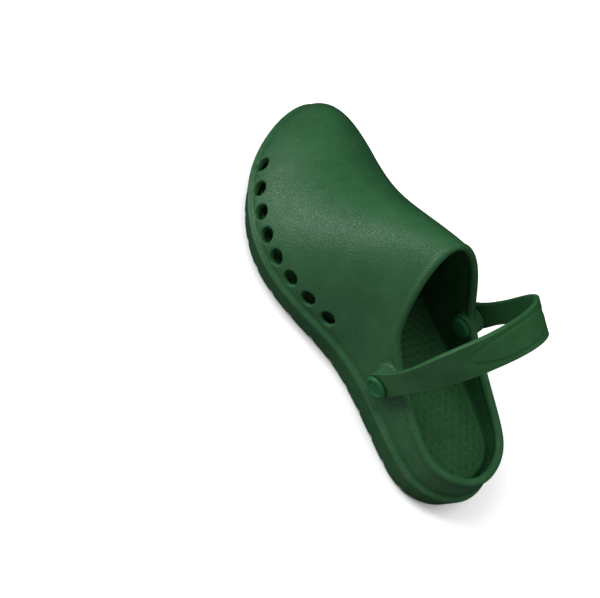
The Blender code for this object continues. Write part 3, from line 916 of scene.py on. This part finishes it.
def build_studs():
    """A headed stud and an inner cap for each pivot, as (object, node it stands for)."""
    head = PAD_LENGTH + 2 * GAP + STRAP_THICKNESS
    tip = -GAP - CAP_THICKNESS * 0.6
    bore = SHANK_RADIUS + 0.1
    top = head + HEAD_THICKNESS
    stud = [
        (0.0, top - 0.9),
        (HEAD_RADIUS - 3.4, top - 0.8),
        (HEAD_RADIUS - 2.6, top - 0.05),
        (HEAD_RADIUS - 1.1, top - 0.02),
        (HEAD_RADIUS, top - 1.0),
        (HEAD_RADIUS, head + 0.4),
        (HEAD_RADIUS - 0.4, head),
        (SHANK_RADIUS, head),
        (SHANK_RADIUS, tip + 0.4),
        (SHANK_RADIUS - 0.4, tip),
        (0.0, tip),
    ]
    cap = [
        (0.0, tip - 0.2),
        (bore, tip - 0.2),
        (bore, -GAP),
        (CAP_RADIUS, -GAP),
        (CAP_RADIUS, -GAP - 1.2),
        (CAP_RADIUS - 1.5, -GAP - CAP_THICKNESS + 0.1),
        (3.0, -GAP - CAP_THICKNESS),
        (0.0, -GAP - CAP_THICKNESS),
    ]
    made = []
    for name, side in (("lateral", "outer"), ("medial", "inner")):
        base = PIVOTS[side] - OUTWARD[side] * PAD_LENGTH
        stud_piece = turned(f"stud_{name}", rounded_profile(stud, 0.6), base, OUTWARD[side])
        cap_piece = turned(f"stud_cap_{name}", rounded_profile(cap, 0.6), base, OUTWARD[side])
        made += [(stud_piece, f"rivet_{name}"), (cap_piece, f"rivet_cap_{name}")]
    return made


# --- Materials ------------------------------------------------------------------------------

GRAIN_WANDER = 1.6
CELL_EDGE = 0.22
MOST_DUST = 0.16
SWELL_DEPTH = 0.25
SHEEN = 0.42


def foam_material(name, colour, roughness, grain, grain_depth, pore=0.35):
    """Moulded foam: leather grain from two cell patterns, pores, uneven gloss and light dust.

    `grain` is in cells per millimetre and `grain_depth` in millimetres.
    """
    material = bpy.data.materials.new(name)
    material.use_nodes = True
    nodes, links = material.node_tree.nodes, material.node_tree.links
    shader = nodes["Principled BSDF"]

    def add(kind, output, settings=(), **inputs):
        """Output of a new node, whose inputs are other nodes' outputs or values."""
        node = nodes.new(kind)
        for key, value in dict(settings).items():
            setattr(node, key, value)
        for key, value in inputs.items():
            socket = node.inputs[key.replace("_", " ")]
            if isinstance(value, bpy.types.NodeSocket):
                links.new(value, socket)
            else:
                socket.default_value = value
        return node.outputs[output]

    def noise(scale, detail, rough=0.55):
        return add(
            "ShaderNodeTexNoise", "Fac", Vector=place, Scale=scale, Detail=detail, Roughness=rough
        )

    def ramp(source, low, high, out_low, out_high):
        ends = {"From_Min": low, "From_Max": high, "To_Min": out_low, "To_Max": out_high}
        return add("ShaderNodeMapRange", "Result", Value=source, **ends)

    def math_node(operation, *values):
        node = nodes.new("ShaderNodeMath")
        node.operation = operation
        for socket, value in zip(node.inputs, values):
            if isinstance(value, bpy.types.NodeSocket):
                links.new(value, socket)
            else:
                socket.default_value = value
        return node.outputs["Value"]

    def weighted(*terms):
        """Sum of (source, weight) terms."""
        total = 0.0
        for source, weight in terms:
            total = math_node("ADD", total, math_node("MULTIPLY", source, weight))
        return total

    def bump(height, distance, **normal):
        return add("ShaderNodeBump", "Normal", Height=height, Distance=distance * MM, **normal)

    metres = nodes.new("ShaderNodeTexCoord").outputs["Object"]
    place = add("ShaderNodeMapping", "Vector", Vector=metres, Scale=(1 / MM,) * 3)

    wander = add("ShaderNodeTexNoise", "Color", Vector=place, Scale=0.35, Detail=2.0)
    shift = add("ShaderNodeVectorMath", 0, {"operation": "SCALE"}, Vector=wander, Scale=GRAIN_WANDER)
    moved = nodes.new("ShaderNodeVectorMath")
    links.new(place, moved.inputs[0])
    links.new(shift, moved.inputs[1])
    bent_place = moved.outputs[0]

    edges = {"feature": "DISTANCE_TO_EDGE"}
    cells = add("ShaderNodeTexVoronoi", "Distance", edges, Vector=bent_place, Scale=grain)
    soft = {"feature": "SMOOTH_F1"}
    small = add("ShaderNodeTexVoronoi", "Distance", soft, Vector=bent_place, Scale=grain * 2.3)
    pebbles = weighted(
        (ramp(cells, 0.0, CELL_EDGE, 0.0, 1.0), 1.0), (small, -0.55), (noise(3.2, 2.0), pore)
    )
    broad = noise(0.035, 3.0)
    mottle = noise(0.16, 4.0, 0.6)

    tint = nodes.new("ShaderNodeValToRGB")
    links.new(weighted((broad, 0.6), (mottle, 0.4)), tint.inputs["Fac"])
    dark, light = tint.color_ramp.elements
    dark.position, light.position = 0.32, 0.68
    dark.color = [c * 0.86 for c in colour] + [1.0]
    light.color = [c * 1.12 + 0.002 for c in colour] + [1.0]

    scuff = ramp(noise(0.075, 6.0, 0.7), 0.60, 0.74, 0.0, MOST_DUST)
    dusty = nodes.new("ShaderNodeMix")
    dusty.data_type = "RGBA"
    links.new(scuff, dusty.inputs["Factor"])
    links.new(tint.outputs["Color"], dusty.inputs[6])
    dusty.inputs[7].default_value = [c * 0.75 + 0.03 for c in colour] + [1.0]
    links.new(dusty.outputs[2], shader.inputs["Base Color"])

    uneven_gloss = ramp(mottle, 0.3, 0.7, roughness - 0.05, roughness + 0.06)
    grain_gloss = ramp(pebbles, 0.0, 1.0, 0.05, -0.02)
    gloss = weighted((uneven_gloss, 1.0), (scuff, 1.0), (grain_gloss, 1.0))
    links.new(gloss, shader.inputs["Roughness"])

    relief = bump(pebbles, grain_depth)
    links.new(bump(mottle, SWELL_DEPTH, Normal=relief), shader.inputs["Normal"])
    shader.inputs["Specular IOR Level"].default_value = SHEEN
    return material


def finish_piece(obj, material, body, nodes):
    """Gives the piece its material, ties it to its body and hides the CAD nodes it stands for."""
    obj.data.materials.clear()
    obj.data.materials.append(material)
    obj.data.shade_smooth()
    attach(obj, body)
    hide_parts(*nodes)


def build_pieces():
    shell_foam = foam_material("grained_foam", (0.0120, 0.056, 0.0195), 0.42, 0.62, 0.10)
    # The footbed is the same foam as the shell but gets a darker green: painted shade of the hollow
    # it lies in.
    insole_foam_with_painted_shade = foam_material("footbed_foam", (0.0095, 0.045, 0.0140), 0.58, 1.1, 0.05)
    strap_foam = foam_material("strap_foam", (0.0120, 0.060, 0.0180), 0.44, 0.95, 0.035)
    plastic = foam_material("stud_plastic", (0.0080, 0.062, 0.0210), 0.34, 1.6, 0.012, 0.2)
    finish_piece(build_shell(), shell_foam, "shell", ["clog_shell"])
    insole = build_insole()
    finish_piece(insole, insole_foam_with_painted_shade, "shell", ["insole"])
    strap = build_strap()
    finish_piece(strap, strap_foam, "strap", ["heel_strap"])
    strap.data.set_sharp_from_angle(angle=math.radians(50))
    for stud, node in build_studs():
        finish_piece(stud, plastic, "shell", [node])


# --- Studio ---------------------------------------------------------------------------------

PAPER = 0.86
SURROUND = 0.42


def area_light(name, place, target, size, power, mirrored=True):
    """Softbox aimed at the target. One that isn't mirrored lights the clog without a highlight."""
    data = bpy.data.lights.new(name, "AREA")
    data.shape = "RECTANGLE"
    data.size, data.size_y = size
    data.energy = power
    obj = link(bpy.data.objects.new(name, data))
    obj.location = place
    obj.rotation_euler = (Vector(target) - Vector(place)).to_track_quat("-Z", "Y").to_euler()
    obj.visible_glossy = mirrored


def build_studio():
    bpy.ops.mesh.primitive_plane_add(size=8.0)
    floor = bpy.context.object
    floor.name = "floor"
    paper = bpy.data.materials.new("floor_paper")
    paper.use_nodes = True
    shader = paper.node_tree.nodes["Principled BSDF"]
    shader.inputs["Base Color"].default_value = (PAPER, PAPER, PAPER, 1)
    shader.inputs["Roughness"].default_value = 0.9
    floor.data.materials.append(paper)
    floor.visible_glossy = False
    world = bpy.data.worlds.new("studio")
    bpy.context.scene.world = world
    world.use_nodes = True
    background = world.node_tree.nodes["Background"]
    background.inputs["Color"].default_value = (1, 1, 1, 1)
    background.inputs["Strength"].default_value = SURROUND
    world.cycles_visibility.glossy = False
    area_light("key", (-0.55, 0.55, 0.95), (0, 0.03, 0.05), (0.5, 0.9), 14.0, mirrored=False)
    area_light("side", (-0.80, 0.80, 0.33), (-0.03, 0.03, 0.07), (0.5, 0.35), 7.0)
    area_light("fill", (0.9, -0.5, 0.9), (0, 0, 0.04), (1.0, 1.0), 6.0, mirrored=False)
    area_light("top", (-0.1, -0.2, 1.5), (0, 0, 0), (1.2, 1.2), 12.0, mirrored=False)


def build_camera():
    """Camera from a rotation vector and offset in millimetres, with its own y down and z forwards."""
    turn = Vector(CAMERA_TURN)
    rows = np.array(Matrix.Rotation(turn.length, 3, turn.normalized()))
    place = -rows.T @ np.array(CAMERA_OFFSET) + np.array([*CENTRING, 0])
    matrix = np.eye(4)
    matrix[:3, :3] = np.column_stack([rows[0], -rows[1], -rows[2]])
    matrix[:3, 3] = place * MM
    data = bpy.data.cameras.new("camera")
    data.sensor_width = 36.0
    data.lens = CAMERA_LENS
    data.clip_start, data.clip_end = 0.01, 50.0
    camera = link(bpy.data.objects.new("camera", data))
    camera.matrix_world = Matrix(matrix.tolist())
    bpy.context.scene.camera = camera


build_pieces()
build_studio()
build_camera()
bpy.context.scene.view_settings.view_transform = "Standard"
bpy.context.scene.view_settings.exposure = 0.0
